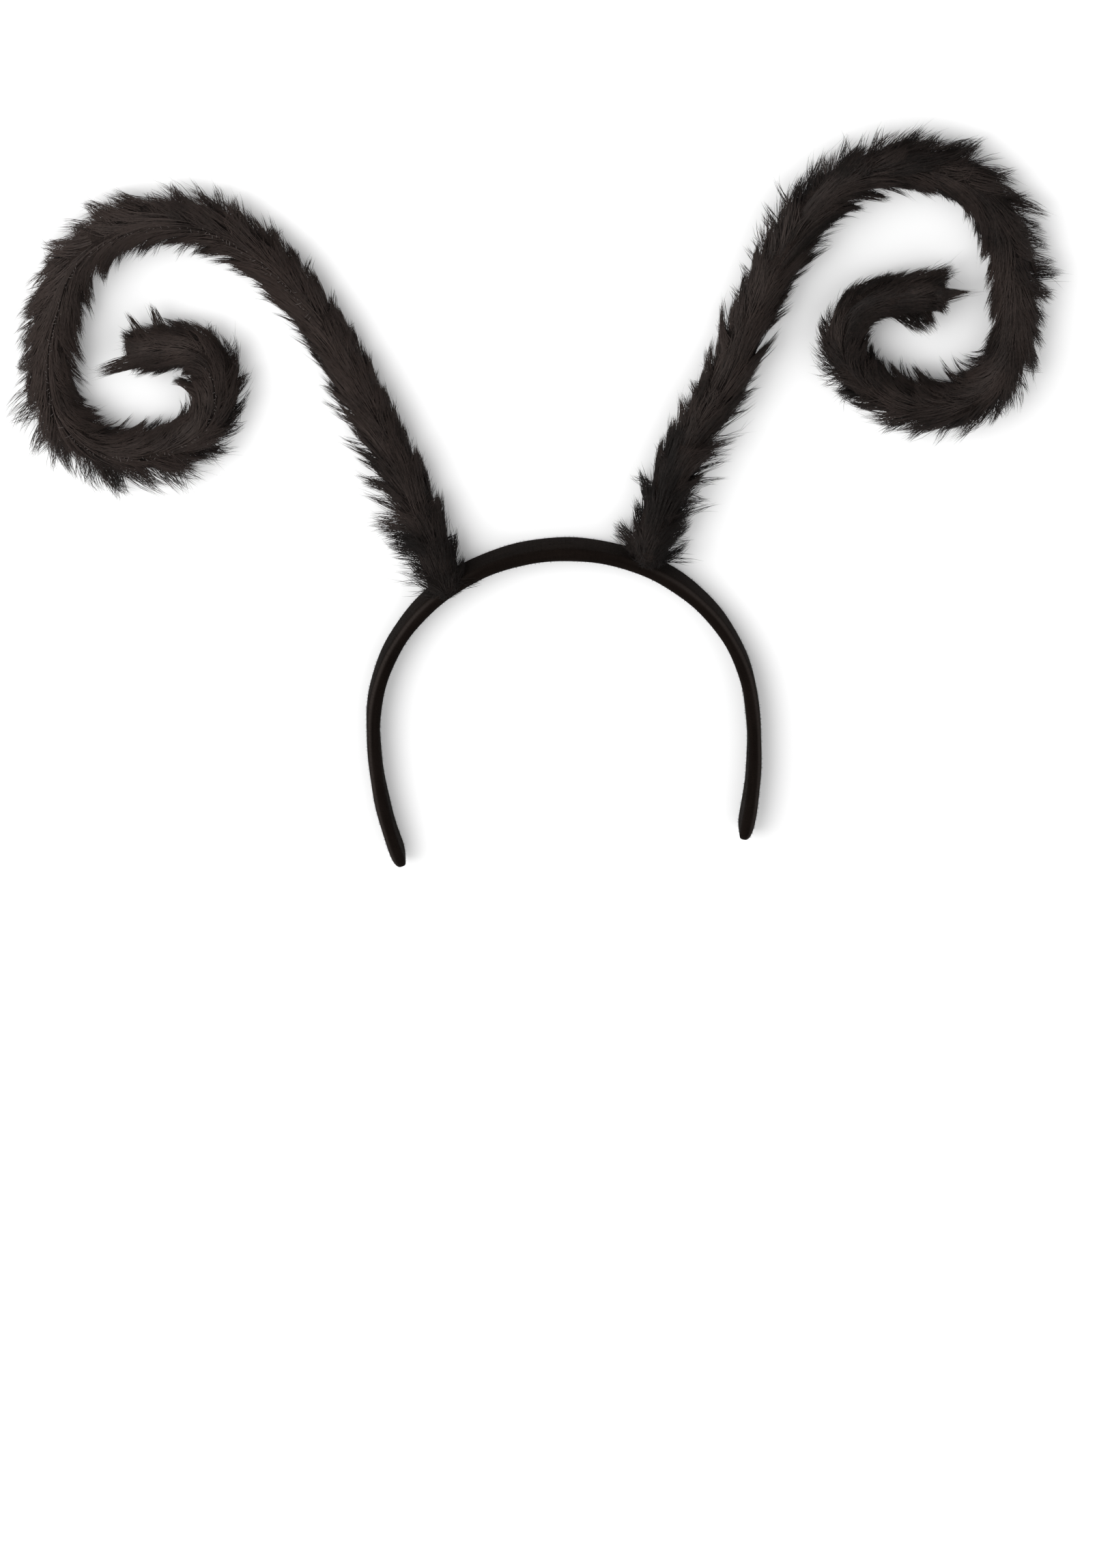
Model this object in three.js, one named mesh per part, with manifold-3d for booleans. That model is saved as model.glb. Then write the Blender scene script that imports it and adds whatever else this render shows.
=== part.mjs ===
// Antenna headband, lying on its back: a padded velvet hair band and two curled sleeves of long fur.
// Millimetres. +Z is up, out of the front of the band. +Y runs from the band's crown towards the antennae,
// and +X is to the right as seen from the front. The origin is on the rear edge, at the middle of the crown.
import * as THREE from 'three';
import { mergeVertices } from 'three/addons/utils/BufferGeometryUtils.js';
import Module from 'manifold-3d';

// Band: a strip bent to a round arch, with legs that close in slightly towards their tips.
const BAND_WIDTH = 13;
const BAND_THICKNESS = 4.8;
const BAND_FACE_DOME = 0.5;
const BAND_FRONT_ROUND = 2;
const BAND_REAR_ROUND = 0.8;
const BAND_TIP_ROUND = 7;
const BAND_TIP_SCALE = 0.45;
const BAND_STEPS = 52;
const BAND_STEP_EASE = 0.45;
const BAND_ROUND_STEPS = 2;
const ARCH_RADIUS = 72.2;
const ARCH_HALF_DEG = 85;
const LEG_RUN = 62;
const LEG_TURN_DEG = -21;

// Sleeves: the wire lies level at this height, and the fur is pressed flat where it meets the floor.
const WIRE_HEIGHT = 9;
const SEAT_GAP = 0.3;
const FLOOR_BLOCK = 600;

// Radius of the dense fur under the locks, at a fraction of the sleeve's length.
const SLEEVE_RADII = [
  { at: 0.0, radius: 8.0 },
  { at: 0.12, radius: 7.0 },
  { at: 0.35, radius: 6.8 },
  { at: 0.6, radius: 7.2 },
  { at: 0.8, radius: 7.2 },
  { at: 0.96, radius: 6.6 },
  { at: 0.985, radius: 5.4 },
];

// Bends of each wire from the band to the tip. A positive turn is to the left, seen from the front.
// seatDeg is the place on the arch from its crown, and sink is how far the sleeve's end
// reaches past the band's outer face.
const ANTENNAE = [
  {
    name: 'antenna_left',
    seatDeg: -34.7,
    sink: 4.8,
    headingDeg: 103,
    outerSide: 1,
    seed: 11,
    bends: [
      { stretch: 'foot', run: 51, turn: 4 },
      { stretch: 'stalk', run: 50, turn: 4 },
      { stretch: 'upper stalk', run: 45, turn: 13 },
      { stretch: 'shoulder', run: 28, turn: 26 },
      { stretch: 'top of the curl', run: 76, turn: 98 },
      { stretch: 'far side', run: 42, turn: 34 },
      { stretch: 'far corner', run: 32, turn: 66 },
      { stretch: 'bottom of the curl', run: 30, turn: 48 },
      { stretch: 'near side', run: 25, turn: 60 },
      { stretch: 'hook', run: 20, turn: 84 },
      { stretch: 'tip', run: 21, turn: 6 },
    ],
  },
  {
    name: 'antenna_right',
    seatDeg: 29.8,
    sink: 2.8,
    headingDeg: 74,
    outerSide: -1,
    seed: 47,
    bends: [
      { stretch: 'foot', run: 36, turn: -6 },
      { stretch: 'lower stalk', run: 25, turn: -11 },
      { stretch: 'stalk', run: 45, turn: 11 },
      { stretch: 'upper stalk', run: 45, turn: -14 },
      { stretch: 'shoulder', run: 25, turn: -31 },
      { stretch: 'top of the curl', run: 40, turn: -54 },
      { stretch: 'far shoulder', run: 25, turn: -40 },
      { stretch: 'far side', run: 51, turn: -29 },
      { stretch: 'far corner', run: 36, turn: -78 },
      { stretch: 'bottom of the curl', run: 36, turn: -48 },
      { stretch: 'near side', run: 26, turn: -70 },
      { stretch: 'hook', run: 14, turn: -58 },
      { stretch: 'tip', run: 27, turn: -9 },
    ],
  },
];

// How far the tips of the locks stand off the dense fur, on the outer and the inner side of the curl.
const PILE_LIFTS = [
  { at: 0.0, outer: 4.5, inner: 7.5 },
  { at: 0.2, outer: 4.5, inner: 6.5 },
  { at: 0.38, outer: 6, inner: 4 },
  { at: 0.5, outer: 7, inner: 2.5 },
  { at: 0.75, outer: 7.5, inner: 3 },
  { at: 1.0, outer: 6, inner: 4 },
];
const PILE_FRONT_SHARE = 0.75;

// Tiers of locks: each is a ragged skirt whose points lie over the next tier, towards the tip.
const TIER_PITCH = 10;
const TIER_LOCKS = 8;
const LOCK_LENGTH = 19;
const LOCK_VARIES = 0.3;
const NOTCH_SHARE = 0.4;
const NOTCH_LIFT = 0.8;

// Tuft that closes the blunt tip.
const TUFT_ROOM = 9;
const TUFT_LENGTH = 13;
const TUFT_HOLLOW = 2;

const VELVET = new THREE.MeshStandardMaterial({ color: 0x1a1512, roughness: 0.95, metalness: 0 });
const FUR = new THREE.MeshStandardMaterial({ color: 0x2a2522, roughness: 0.8, metalness: 0 });

const wasm = await Module();
wasm.setup();

const UP = new THREE.Vector3(0, 0, 1);
const radians = THREE.MathUtils.degToRad;

// Place and heading at a distance along a row of straight or evenly bent runs in a level plane.
function levelPath(start, headingDeg, bends) {
  const runs = [];
  let at = start.clone();
  let angle = radians(headingDeg);
  const reach = (run, distance) => {
    const turned = (radians(run.turn) * distance) / run.run;
    const chord = turned === 0 ? distance : (2 * distance * Math.sin(turned / 2)) / turned;
    const middle = run.angle + turned / 2;
    const place = new THREE.Vector3(Math.cos(middle), Math.sin(middle), 0).multiplyScalar(chord).add(run.at);
    return { place, angle: run.angle + turned };
  };
  for (const bend of bends) {
    const run = { ...bend, at, angle };
    runs.push(run);
    ({ place: at, angle } = reach(run, bend.run));
  }
  const length = bends.reduce((sum, bend) => sum + bend.run, 0);
  const frame = (distance) => {
    let left = distance;
    let run = runs[0];
    for (run of runs) {
      if (left <= run.run) break;
      left -= run.run;
    }
    const { place, angle: heading } = reach(run, Math.min(left, run.run));
    const tangent = new THREE.Vector3(Math.cos(heading), Math.sin(heading), 0);
    place.addScaledVector(tangent, Math.max(0, distance - length));
    return { place, side: tangent.cross(UP) };
  };
  return { length, frame };
}

// Moves every vertex of a geometry by a function of its place and its number.
function reshape(geometry, placeOf) {
  const position = geometry.attributes.position;
  const vertex = new THREE.Vector3();
  for (let i = 0; i < position.count; i += 1) {
    vertex.fromBufferAttribute(position, i);
    position.setXYZ(i, ...placeOf(vertex, i).toArray());
  }
  return geometry;
}

// A closed geometry as a solid that can be joined and cut.
function toSolid(geometry) {
  geometry.deleteAttribute('normal');
  geometry.deleteAttribute('uv');
  const merged = mergeVertices(geometry);
  const corners = merged.index.array;
  const triangles = [];
  for (let i = 0; i < corners.length; i += 3) {
    const [a, b, c] = corners.slice(i, i + 3);
    if (a !== b && b !== c && c !== a) triangles.push(a, b, c);
  }
  const vertProperties = Float32Array.from(merged.attributes.position.array);
  return new wasm.Manifold(new wasm.Mesh({ numProp: 3, vertProperties, triVerts: Uint32Array.from(triangles) }));
}

// A solid as a named mesh.
function toMesh(solid, name, material) {
  const { vertProperties, triVerts } = solid.getMesh();
  const geometry = new THREE.BufferGeometry();
  geometry.setAttribute('position', new THREE.BufferAttribute(vertProperties, 3));
  geometry.setIndex(new THREE.BufferAttribute(triVerts, 1));
  geometry.computeVertexNormals();
  const mesh = new THREE.Mesh(geometry, material);
  mesh.name = name;
  return mesh;
}

// Section of the band: flat rear edge at the bottom, domed outer face to the right, round front at the top.
function bandSection(grow) {
  const half = BAND_THICKNESS / 2 + grow;
  const rear = -grow;
  const front = BAND_WIDTH + grow;
  const small = BAND_REAR_ROUND;
  const large = BAND_FRONT_ROUND;
  const shape = new THREE.Shape();
  shape.moveTo(-half + small, rear);
  shape.lineTo(half - small, rear);
  shape.absarc(half - small, rear + small, small, -Math.PI / 2, 0);
  shape.quadraticCurveTo(half + 2 * BAND_FACE_DOME, BAND_WIDTH / 2, half, front - large);
  shape.absarc(half - large, front - large, large, 0, Math.PI / 2);
  shape.absarc(-half + large, front - large, large, Math.PI / 2, Math.PI);
  shape.lineTo(-half, rear + small);
  shape.absarc(-half + small, rear + small, small, Math.PI, 1.5 * Math.PI);
  return shape;
}

const archCentre = new THREE.Vector3(0, -ARCH_RADIUS, 0);

// Point at an angle from the crown and a distance outside the middle of the band's thickness.
function onArch(angleDeg, outside) {
  const angle = radians(angleDeg);
  const out = new THREE.Vector3(Math.sin(angle), Math.cos(angle), 0);
  return out.multiplyScalar(ARCH_RADIUS + outside).add(archCentre);
}

// The band, or the room that it takes up with a gap all round.
function bandSolid(grow) {
  const archRun = radians(ARCH_HALF_DEG) * ARCH_RADIUS;
  const path = levelPath(new THREE.Vector3(), 0, [
    { run: archRun, turn: -ARCH_HALF_DEG },
    { run: LEG_RUN, turn: LEG_TURN_DEG },
  ]);
  const geometry = new THREE.ExtrudeGeometry(bandSection(grow), {
    depth: 1,
    steps: BAND_STEPS,
    curveSegments: BAND_ROUND_STEPS,
    bevelEnabled: false,
  });
  const middle = BAND_WIDTH / 2;
  reshape(geometry, ({ x: outward, y: height, z: part }) => {
    const eased = part - (BAND_STEP_EASE * Math.sin(2 * Math.PI * part)) / (2 * Math.PI);
    const fromCrown = (2 * eased - 1) * path.length;
    const toTip = Math.min(1, (path.length - Math.abs(fromCrown)) / BAND_TIP_ROUND);
    const scale = BAND_TIP_SCALE + (1 - BAND_TIP_SCALE) * Math.sqrt(1 - (1 - toTip) ** 2);
    const { place, side } = path.frame(Math.abs(fromCrown));
    const point = place.addScaledVector(side, -outward * scale);
    point.x *= Math.sign(fromCrown);
    return point.addScaledVector(UP, middle + (height - middle) * scale);
  });
  return toSolid(geometry);
}

// Value of a named column between the rows of a table, at a fraction of a length.
function between(rows, at, column) {
  const next = rows.findIndex((row) => row.at >= at);
  if (next === -1) return rows[rows.length - 1][column];
  if (next === 0) return rows[0][column];
  const [low, high] = [rows[next - 1], rows[next]];
  return THREE.MathUtils.mapLinear(at, low.at, high.at, low[column], high[column]);
}

// Rings of a straight sleeve, from the band to the tip. Each slot round a ring has its own place along
// the wire and its own distance from it.
function furRings({ outerSide, seed }, length) {
  let count = seed;
  const vary = () => {
    count += 1;
    return 1 + LOCK_VARIES * (2 * THREE.MathUtils.seededRandom(count) - 1);
  };
  const slots = Array.from({ length: 2 * TIER_LOCKS }, (_, slot) => slot);
  const even = (along, radius) => slots.map(() => ({ along, radius }));
  const ragged = (root, lockLength, tier) => {
    const at = root / length;
    const core = between(SLEEVE_RADII, at, 'radius');
    const [inner, outer] = ['inner', 'outer'].map((side) => between(PILE_LIFTS, at, side));
    return slots.map((slot) => {
      if ((slot + tier) % 2 === 1) return { along: root + NOTCH_SHARE * lockLength, radius: core + NOTCH_LIFT };
      const angle = (2 * Math.PI * slot) / slots.length;
      const towardsFront = 1 - (1 - PILE_FRONT_SHARE) * Math.abs(Math.cos(angle));
      const lift = THREE.MathUtils.lerp(inner, outer, (1 + outerSide * Math.sin(angle)) / 2) * towardsFront;
      const long = vary();
      return { along: root + long * lockLength, radius: core + long * lift };
    });
  };
  const tiers = Math.floor((length - TUFT_ROOM) / TIER_PITCH);
  const rings = [even(0, 0)];
  for (let tier = 0; tier <= tiers; tier += 1) {
    const root = tier * TIER_PITCH;
    rings.push(even(root, between(SLEEVE_RADII, root / length, 'radius')));
    rings.push(ragged(root, tier === tiers ? TUFT_LENGTH : LOCK_LENGTH, tier));
  }
  rings.push(even(length - TUFT_HOLLOW, 0));
  return rings;
}

// The fur of a sleeve, turned straight and then bent along its wire.
function furSolid(antenna, path) {
  const rings = furRings(antenna, path.length);
  const slots = rings[0].length;
  const profile = rings.map(([first]) => new THREE.Vector2(first.radius, first.along));
  const geometry = new THREE.LatheGeometry(profile, slots);
  reshape(geometry, (vertex, index) => {
    const slot = Math.floor(index / rings.length) % slots;
    const { along, radius } = rings[index % rings.length][slot];
    const angle = (2 * Math.PI * slot) / slots;
    const { place, side } = path.frame(along);
    place.addScaledVector(side, radius * Math.sin(angle));
    return place.addScaledVector(UP, WIRE_HEIGHT + radius * Math.cos(angle));
  });
  return toSolid(geometry);
}

// One antenna: dense fur and locks in one body, cut level at the floor and open round the band.
function antennaSolid(antenna, cutters) {
  const start = onArch(antenna.seatDeg, BAND_THICKNESS / 2 - antenna.sink);
  const path = levelPath(start, antenna.headingDeg, antenna.bends);
  const cut = cutters.reduce((body, cutter) => body.subtract(cutter), furSolid(antenna, path));
  return cut.decompose().sort((a, b) => b.volume() - a.volume())[0];
}

const floor = new THREE.BoxGeometry(FLOOR_BLOCK, FLOOR_BLOCK, FLOOR_BLOCK);
floor.translate(0, 0, -FLOOR_BLOCK / 2);
const cutters = [toSolid(floor), bandSolid(SEAT_GAP)];

const headpiece = new THREE.Group();
headpiece.add(toMesh(bandSolid(0), 'headband', VELVET));
for (const antenna of ANTENNAE) {
  headpiece.add(toMesh(antennaSolid(antenna, cutters), antenna.name, FUR));
}

export default headpiece;
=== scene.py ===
# Antenna headband: a velvet hair band and two curled sleeves of long black fur, lying on its back.
# Lengths are millimetres and turn to metres where a mesh is made. Materials and studio are in metres.
import math
import bpy
import numpy as np
from mathutils import Matrix, Vector


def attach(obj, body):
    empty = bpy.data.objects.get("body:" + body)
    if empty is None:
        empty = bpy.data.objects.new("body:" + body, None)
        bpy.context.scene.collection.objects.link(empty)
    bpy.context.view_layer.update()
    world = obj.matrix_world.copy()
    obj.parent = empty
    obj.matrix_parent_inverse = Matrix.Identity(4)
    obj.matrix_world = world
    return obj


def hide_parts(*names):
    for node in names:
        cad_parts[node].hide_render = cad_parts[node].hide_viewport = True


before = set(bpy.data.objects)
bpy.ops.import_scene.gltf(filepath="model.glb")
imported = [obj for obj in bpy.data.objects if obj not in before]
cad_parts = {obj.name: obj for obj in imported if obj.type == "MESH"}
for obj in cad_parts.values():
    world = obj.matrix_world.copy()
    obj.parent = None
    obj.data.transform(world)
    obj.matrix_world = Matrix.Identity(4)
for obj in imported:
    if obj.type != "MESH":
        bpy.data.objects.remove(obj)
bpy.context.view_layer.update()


# Headband. A springy strip with a thin pad, wrapped in black velvet and rounded at both tips.
# The cover is drawn tight over the pad, so the outer face is slightly domed, and its pile
# stands less than a millimetre high.
MM = 0.001
BAND_WIDTH = 13.0
BAND_THICKNESS = 4.8
BAND_FACE_DOME = 0.5
BAND_FRONT_ROUND = 2.0
BAND_REAR_ROUND = 0.8
BAND_TIP_ROUND = 7.0
BAND_TIP_SCALE = 0.45
ARCH_RADIUS = 72.2
ARCH_HALF_DEG = 85.0
LEG_RUN = 62.0
LEG_TURN_DEG = -21.0
ROUTE_STATIONS = 2000
BAND_STATIONS = 281
CLOSER_TO_TIPS = 1.25
FACE_STEPS = 9
EDGE_STEPS = 4
ROUND_STEPS = 9
PAD_SWELL = 0.05
PAD_WAVE = 0.21
PAD_SLOW_WAVE = 0.083
PAD_WAVE_START = 0.7


def level_route(start, heading_deg, bends, stations):
    """Even stations along a level line of evenly bent runs, each run a length and a turn."""
    runs = np.array([run for run, _ in bends], float)
    turns = np.radians([turn for _, turn in bends])
    length = runs.sum()
    at = np.linspace(0.0, length, stations)
    ends = np.concatenate([[0.0], np.cumsum(runs)])
    turned = np.interp(at, ends, np.concatenate([[0.0], np.cumsum(turns)]))
    heading = math.radians(heading_deg) + turned
    middle = (heading[1:] + heading[:-1]) / 2
    step = length / (stations - 1)
    x = start[0] + np.concatenate([[0.0], np.cumsum(np.cos(middle))]) * step
    y = start[1] + np.concatenate([[0.0], np.cumsum(np.sin(middle))]) * step
    return {"at": at, "x": x, "y": y, "heading": heading, "length": length}


def band_section():
    """Outward and height of the points round the band, from its outer face over the front edge."""
    half = BAND_THICKNESS / 2
    front, rear = BAND_FRONT_ROUND, BAND_REAR_ROUND
    corners = [
        (half - front, BAND_WIDTH - front, front, 0),
        (front - half, BAND_WIDTH - front, front, 90),
        (rear - half, rear, rear, 180),
        (half - rear, rear, rear, 270),
    ]
    rounds = []
    for outward, height, radius, start in corners:
        angle = np.radians(np.linspace(start, start + 90, ROUND_STEPS))
        rounds.append(np.stack([outward + radius * np.cos(angle), height + radius * np.sin(angle)], 1))
    points = []
    for number, steps in enumerate([EDGE_STEPS, FACE_STEPS, EDGE_STEPS, FACE_STEPS]):
        here = rounds[number]
        there = rounds[(number + 1) % len(rounds)][0]
        share = np.linspace(0, 1, steps + 1)[1:-1, None]
        points += [here, here[-1] + (there - here[-1]) * share]
    section = np.concatenate(points)
    across = section[:, 1] / BAND_WIDTH * 2 - 1
    section[:, 0] += BAND_FACE_DOME * np.clip(section[:, 0] / half, 0, 1) * (1 - across**2)
    return section


def tube_mesh(name, rings):
    """A tube of rings, which are station, point and xyz, with a fan at each end."""
    stations, sides = rings.shape[:2]
    first = np.arange(stations - 1)[:, None] * sides
    here = np.arange(sides)[None, :]
    there = (here + 1) % sides
    quads = np.stack([first + here, first + there, first + sides + there, first + sides + here], 2)
    faces = quads.reshape(-1, 4).tolist()
    points = np.concatenate([rings.reshape(-1, 3), rings[:1].mean(1), rings[-1:].mean(1)])
    low, high = len(points) - 2, len(points) - 1
    last = (stations - 1) * sides
    for point in range(sides):
        after = (point + 1) % sides
        faces.append((low, after, point))
        faces.append((high, last + point, last + after))
    mesh = bpy.data.meshes.new(name)
    mesh.from_pydata((points * MM).tolist(), [], faces)
    mesh.shade_smooth()
    return mesh


def add_values(mesh, name, kind, field, values):
    """Give each point of a mesh a value of its own, which a material reads by name."""
    attribute = mesh.attributes.new(name, kind, "POINT")
    attribute.data.foreach_set(field, values.astype(np.float32).ravel())


def show(name, mesh, material, nodes=()):
    """A piece of the object: it rides on the one body, takes a material and hides the parts it stands
    for.
    """
    mesh.materials.append(material)
    piece = bpy.data.objects.new(name, mesh)
    bpy.context.scene.collection.objects.link(piece)
    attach(piece, "root")
    if nodes:
        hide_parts(*nodes)
    return piece


# The finish of a brushed pile, which the velvet, the fur and the thread share.
PATCH_DETAIL = 3.0
GRAIN_DETAIL = 2.0
GRAIN_SHARE = 0.6
TONE_RANGE = (0.45, 1.15)
WHOLE_RANGE = (0.0, 1.0)


def range_node(nodes, given, wanted):
    """A node that turns one range of values into another."""
    node = nodes.new("ShaderNodeMapRange")
    node.inputs["From Min"].default_value = given[0]
    node.inputs["From Max"].default_value = given[1]
    node.inputs["To Min"].default_value = wanted[0]
    node.inputs["To Max"].default_value = wanted[1]
    return node


def value_node(nodes, name):
    """A node that reads the points' own values of a mesh."""
    node = nodes.new("ShaderNodeAttribute")
    node.attribute_name = name
    return node


def pile_tone_group():
    """Uneven tone of brushed pile: broad patches where it leans one way, and a fine grain."""
    group = bpy.data.node_groups.new("pile tone", "ShaderNodeTree")
    sockets = [
        ("Deep", "INPUT", "NodeSocketColor"),
        ("Raised", "INPUT", "NodeSocketColor"),
        ("Patches", "INPUT", "NodeSocketFloat"),
        ("Grain", "INPUT", "NodeSocketFloat"),
        ("Shift", "INPUT", "NodeSocketFloat"),
        ("Color", "OUTPUT", "NodeSocketColor"),
        ("Height", "OUTPUT", "NodeSocketFloat"),
    ]
    for socket, way, kind in sockets:
        group.interface.new_socket(socket, in_out=way, socket_type=kind)
    nodes, links = group.nodes, group.links
    given = nodes.new("NodeGroupInput")
    result = nodes.new("NodeGroupOutput")
    place = nodes.new("ShaderNodeTexCoord")
    patches = nodes.new("ShaderNodeTexNoise")
    patches.inputs["Detail"].default_value = PATCH_DETAIL
    grain = nodes.new("ShaderNodeTexNoise")
    grain.inputs["Detail"].default_value = GRAIN_DETAIL
    links.new(place.outputs["Object"], patches.inputs["Vector"])
    links.new(place.outputs["Object"], grain.inputs["Vector"])
    links.new(given.outputs["Patches"], patches.inputs["Scale"])
    links.new(given.outputs["Grain"], grain.inputs["Scale"])
    both = nodes.new("ShaderNodeMath")
    both.operation = "MULTIPLY_ADD"
    links.new(grain.outputs["Fac"], both.inputs[0])
    both.inputs[1].default_value = GRAIN_SHARE
    links.new(patches.outputs["Fac"], both.inputs[2])
    shifted = nodes.new("ShaderNodeMath")
    shifted.operation = "ADD"
    links.new(both.outputs[0], shifted.inputs[0])
    links.new(given.outputs["Shift"], shifted.inputs[1])
    spread = range_node(nodes, TONE_RANGE, WHOLE_RANGE)
    links.new(shifted.outputs[0], spread.inputs["Value"])
    tone = nodes.new("ShaderNodeMix")
    tone.data_type = "RGBA"
    links.new(spread.outputs["Result"], tone.inputs["Factor"])
    links.new(given.outputs["Deep"], tone.inputs["A"])
    links.new(given.outputs["Raised"], tone.inputs["B"])
    links.new(tone.outputs["Result"], result.inputs["Color"])
    links.new(grain.outputs["Fac"], result.inputs["Height"])
    return group


pile_tone = pile_tone_group()


def pile_material(name, deep, raised, patches, grain, bump, roughness, gloss):
    """A dark pile: the tone group in the colour, and its grain as bump. Gives the material,
    its tone group and its shader."""
    material = bpy.data.materials.new(name)
    material.use_nodes = True
    nodes, links = material.node_tree.nodes, material.node_tree.links
    shader = nodes["Principled BSDF"]
    tone = nodes.new("ShaderNodeGroup")
    tone.node_tree = pile_tone
    tone.inputs["Deep"].default_value = deep
    tone.inputs["Raised"].default_value = raised
    tone.inputs["Patches"].default_value = patches
    tone.inputs["Grain"].default_value = grain
    links.new(tone.outputs["Color"], shader.inputs["Base Color"])
    relief = nodes.new("ShaderNodeBump")
    relief.inputs["Distance"].default_value = bump
    links.new(tone.outputs["Height"], relief.inputs["Height"])
    links.new(relief.outputs["Normal"], shader.inputs["Normal"])
    shader.inputs["Roughness"].default_value = roughness
    shader.inputs["Specular IOR Level"].default_value = gloss
    return material, tone, shader


def lay_color(material, shader, where, tone, color):
    """Lay a plain colour over a pile's tone where a value says, as the shader's colour."""
    nodes, links = material.node_tree.nodes, material.node_tree.links
    laid = nodes.new("ShaderNodeMix")
    laid.data_type = "RGBA"
    laid.inputs["B"].default_value = color
    links.new(where, laid.inputs["Factor"])
    links.new(tone.outputs["Color"], laid.inputs["A"])
    links.new(laid.outputs["Result"], shader.inputs["Base Color"])


# The form of the cover, from tip to tip.
half_band = level_route(
    start=(0.0, 0.0), heading_deg=0.0,
    bends=[(math.radians(ARCH_HALF_DEG) * ARCH_RADIUS, -ARCH_HALF_DEG), (LEG_RUN, LEG_TURN_DEG)],
    stations=ROUTE_STATIONS)
section = band_section()
even = np.linspace(-1, 1, BAND_STATIONS)
leg = np.sign(even)
away = (1 - (1 - np.abs(even)) ** CLOSER_TO_TIPS) * half_band["length"]
from_crown = leg * away
heading = np.interp(away, half_band["at"], half_band["heading"])
mid_x = np.interp(away, half_band["at"], half_band["x"]) * leg
mid_y = np.interp(away, half_band["at"], half_band["y"])
out_x = -np.sin(heading) * leg
out_y = np.cos(heading)
to_tip = np.clip((half_band["length"] - away) / BAND_TIP_ROUND, 0, 1)
tip_scale = BAND_TIP_SCALE + (1 - BAND_TIP_SCALE) * np.sqrt(1 - (1 - to_tip) ** 2)
slow_wave = np.sin(from_crown * PAD_SLOW_WAVE + PAD_WAVE_START)
padding = 1 + PAD_SWELL * np.sin(from_crown * PAD_WAVE) * slow_wave
outward = section[None, :, 0] * tip_scale[:, None] * padding[:, None]
height = BAND_WIDTH / 2 + (section[None, :, 1] - BAND_WIDTH / 2) * tip_scale[:, None]
band_rings = np.stack([
    mid_x[:, None] + out_x[:, None] * outward,
    mid_y[:, None] + out_y[:, None] * outward,
    height,
], axis=2)

# The velvet: streaks along the band where the pile was brushed, and a painted highlight on the front
# edge, a paler line where the pile on the corner catches the light, that grows from the crown towards
# the legs.
VELVET_DEEP = (0.0030, 0.0018, 0.0013, 1.0)
VELVET_RAISED = (0.0082, 0.0055, 0.0043, 1.0)
VELVET_SHEEN = 0.015
VELVET_SHEEN_ROUGHNESS = 0.4
VELVET_SHEEN_TINT = (0.8, 0.74, 0.7, 1.0)
STREAK_LENGTH = 26.0
STREAKS_ACROSS = 0.55
STREAK_DETAIL = 2.0
STREAK_NOISE = (0.3, 0.7)
STREAK_SHIFT = (-0.16, 0.16)
PAINTED_HIGHLIGHT_COLOR = (0.022, 0.0175, 0.0155, 1.0)
HIGHLIGHT_OFF_CORNER = 0.8
HIGHLIGHT_WIDTH = 0.42
HIGHLIGHT_FROM = 26.0
HIGHLIGHT_GROWS_OVER = 30.0

velvet, velvet_tone, velvet_shader = pile_material(
    "black velvet", VELVET_DEEP, VELVET_RAISED,
    patches=45.0, grain=2600.0, bump=0.0004, roughness=0.95, gloss=0.04)
velvet_shader.inputs["Sheen Weight"].default_value = VELVET_SHEEN
velvet_shader.inputs["Sheen Roughness"].default_value = VELVET_SHEEN_ROUGHNESS
velvet_shader.inputs["Sheen Tint"].default_value = VELVET_SHEEN_TINT
nodes, links = velvet.node_tree.nodes, velvet.node_tree.links
streak_at = value_node(nodes, "streak_place")
streaks = nodes.new("ShaderNodeTexNoise")
streaks.inputs["Scale"].default_value = 1.0
streaks.inputs["Detail"].default_value = STREAK_DETAIL
links.new(streak_at.outputs["Vector"], streaks.inputs["Vector"])
streak_shift = range_node(nodes, STREAK_NOISE, STREAK_SHIFT)
links.new(streaks.outputs["Fac"], streak_shift.inputs["Value"])
links.new(streak_shift.outputs["Result"], velvet_tone.inputs["Shift"])
# Painted highlight: a paler colour laid along the front edge, where the edge values say.
lay_color(velvet, velvet_shader, value_node(nodes, "edge").outputs["Fac"], velvet_tone, PAINTED_HIGHLIGHT_COLOR)

side_lengths = np.linalg.norm(np.diff(section, axis=0), axis=1)
round_section = np.concatenate([[0.0], np.cumsum(side_lengths)])
streak_place = np.zeros(band_rings.shape)
streak_place[:, :, 0] = from_crown[:, None] / STREAK_LENGTH
streak_place[:, :, 1] = round_section[None, :] * STREAKS_ACROSS
# Where the painted highlight lies: a narrow line just off the front corner, growing in from the crown.
front_corner = (BAND_THICKNESS / 2, BAND_WIDTH)
off_corner = np.linalg.norm(section - front_corner, axis=1)
highlight_across = np.exp(-((off_corner - HIGHLIGHT_OFF_CORNER) / HIGHLIGHT_WIDTH) ** 2)
highlight_grows = np.clip((away - HIGHLIGHT_FROM) / HIGHLIGHT_GROWS_OVER, 0, 1)
edge = highlight_grows[:, None] * highlight_across[None, :]

cover = tube_mesh("headband_cover", band_rings)
streak_values = np.concatenate([streak_place.reshape(-1, 3), np.zeros((2, 3))])
add_values(cover, "streak_place", "FLOAT_VECTOR", "vector", streak_values)
add_values(cover, "edge", "FLOAT", "value", np.concatenate([edge.ravel(), np.zeros(2)]))
band = show("headband_cover", cover, velvet, ["headband"])

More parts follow.
